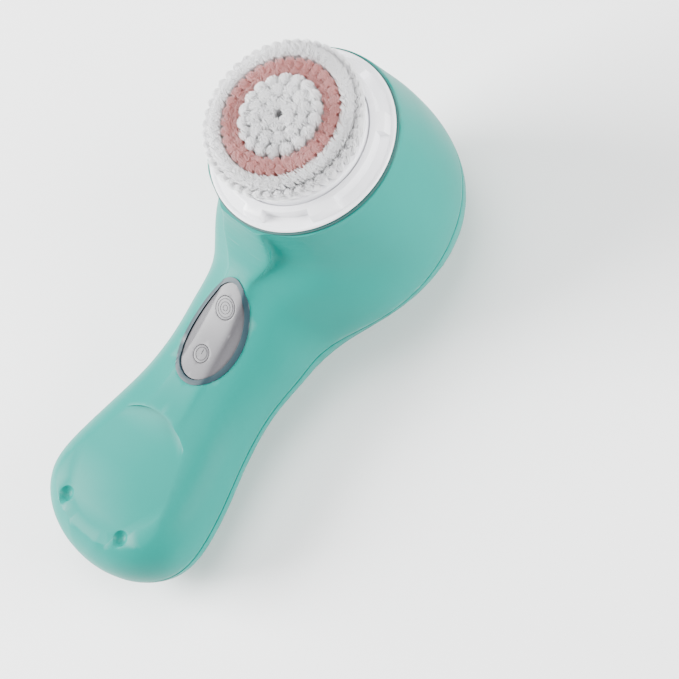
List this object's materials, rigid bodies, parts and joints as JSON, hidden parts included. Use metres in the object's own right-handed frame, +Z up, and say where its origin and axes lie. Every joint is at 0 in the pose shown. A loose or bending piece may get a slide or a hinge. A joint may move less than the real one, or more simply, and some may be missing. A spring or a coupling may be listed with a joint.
{
  "type": "facial cleansing brush",
  "caption": "Hand-held rechargeable facial cleansing brush with a waisted teal body, a grey button pad and a round twist-off brush head that oscillates.",
  "frame": {"origin": "under the brush head's axis, on the surface that the flat of the back rests on", "axes": "+Z up along the brush head's axis, +X along the body from the tail towards the head"},
  "size_m": [0.1404, 0.0616, 0.0718],
  "materials": {
    "shell_teal": "satin",
    "gasket_dark_teal": "matte",
    "bezel_slate": "satin",
    "pad_grey": "matte",
    "board_green": "satin",
    "zinc_steel": "brushed",
    "component_black": "matte",
    "led_clear": "gloss",
    "cell_wrap": "satin",
    "chassis_grey": "matte",
    "nickel": "polished",
    "copper_wire": "satin",
    "ferrite_grey": "matte",
    "lead_red": "satin",
    "bearing_bronze": "satin",
    "lamination_steel": "brushed",
    "boot_rubber": "matte",
    "hub_white": "satin",
    "brush_white": "gloss",
    "bristle_white": "satin",
    "bristle_pink": "satin"
  },
  "bodies": {
    "housing": {"front_shell": "shell_teal", "rear_shell": "shell_teal", "housing_gasket": "gasket_dark_teal", "head_seat_ring": "gasket_dark_teal", "button_bezel": "bezel_slate", "button_pad": "pad_grey", "main_circuit_board": "board_green", "board_screws": "zinc_steel", "tact_switches": "component_black", "status_leds": "led_clear", "board_components": "component_black", "battery_cell": "cell_wrap", "battery_cradle": "chassis_grey", "battery_tabs": "nickel", "charging_coil": "copper_wire", "ferrite_disc": "ferrite_grey", "charger_magnet": "nickel", "coil_leads": "lead_red", "motor_leads": "lead_red", "motor_chassis": "chassis_grey", "chassis_screws": "zinc_steel", "shaft_bearings": "bearing_bronze", "stator_core": "lamination_steel", "stator_coil": "copper_wire", "flexure_spring": "zinc_steel", "drive_boot": "boot_rubber"},
    "drive": {"armature": "lamination_steel", "armature_magnets": "nickel", "drive_shaft": "zinc_steel", "drive_hub": "hub_white"},
    "brush_head": {"outer_brush_ring": "brush_white", "inner_plate_retainer": "brush_white", "outer_tufts": "bristle_white"},
    "collar": {"locking_collar": "brush_white", "collar_latch_tabs": "brush_white"},
    "inner_brush": {"inner_brush_plate": "brush_white", "pink_tufts": "bristle_pink", "center_tufts": "bristle_white"},
    "speed_button_body": {"speed_button": "pad_grey"},
    "power_button_body": {"power_button": "pad_grey"}
  },
  "joints": [
    {"name": "brush_oscillation", "type": "hinge", "parent": "housing", "child": "drive", "pos_m": [0, 0, 0.04], "axis": [0, 0, 1], "range_deg": [-8, 8], "stiffness_Nm_per_rad": 0.05},
    {"name": "head_lift", "type": "slide", "parent": "housing", "child": "brush_head", "axis": [0, 0, 1], "range_m": [0, 0.03], "deforming": ["collar_latch_tabs"]},
    {"name": "collar_twist", "type": "hinge", "parent": "brush_head", "child": "collar", "pos_m": [0, 0, 0.057], "axis": [0, 0, 1], "range_deg": [0, 20]},
    {"name": "inner_brush_follow", "type": "hinge", "parent": "brush_head", "child": "inner_brush", "pos_m": [0, 0, 0.058], "axis": [0, 0, 1], "range_deg": [-8, 8]},
    {"name": "speed_press", "type": "slide", "parent": "housing", "child": "speed_button_body", "axis": [0.3859, 0, -0.9225], "range_m": [0, 0.0005], "stiffness_N_per_m": 600, "springref_m": -0.0003},
    {"name": "power_press", "type": "slide", "parent": "housing", "child": "power_button_body", "axis": [0.3859, 0, -0.9225], "range_m": [0, 0.0005], "stiffness_N_per_m": 600, "springref_m": -0.0003}
  ],
  "couplings": [
    {"joint": "inner_brush_follow", "follows": "brush_oscillation", "ratio": 1}
  ]
}
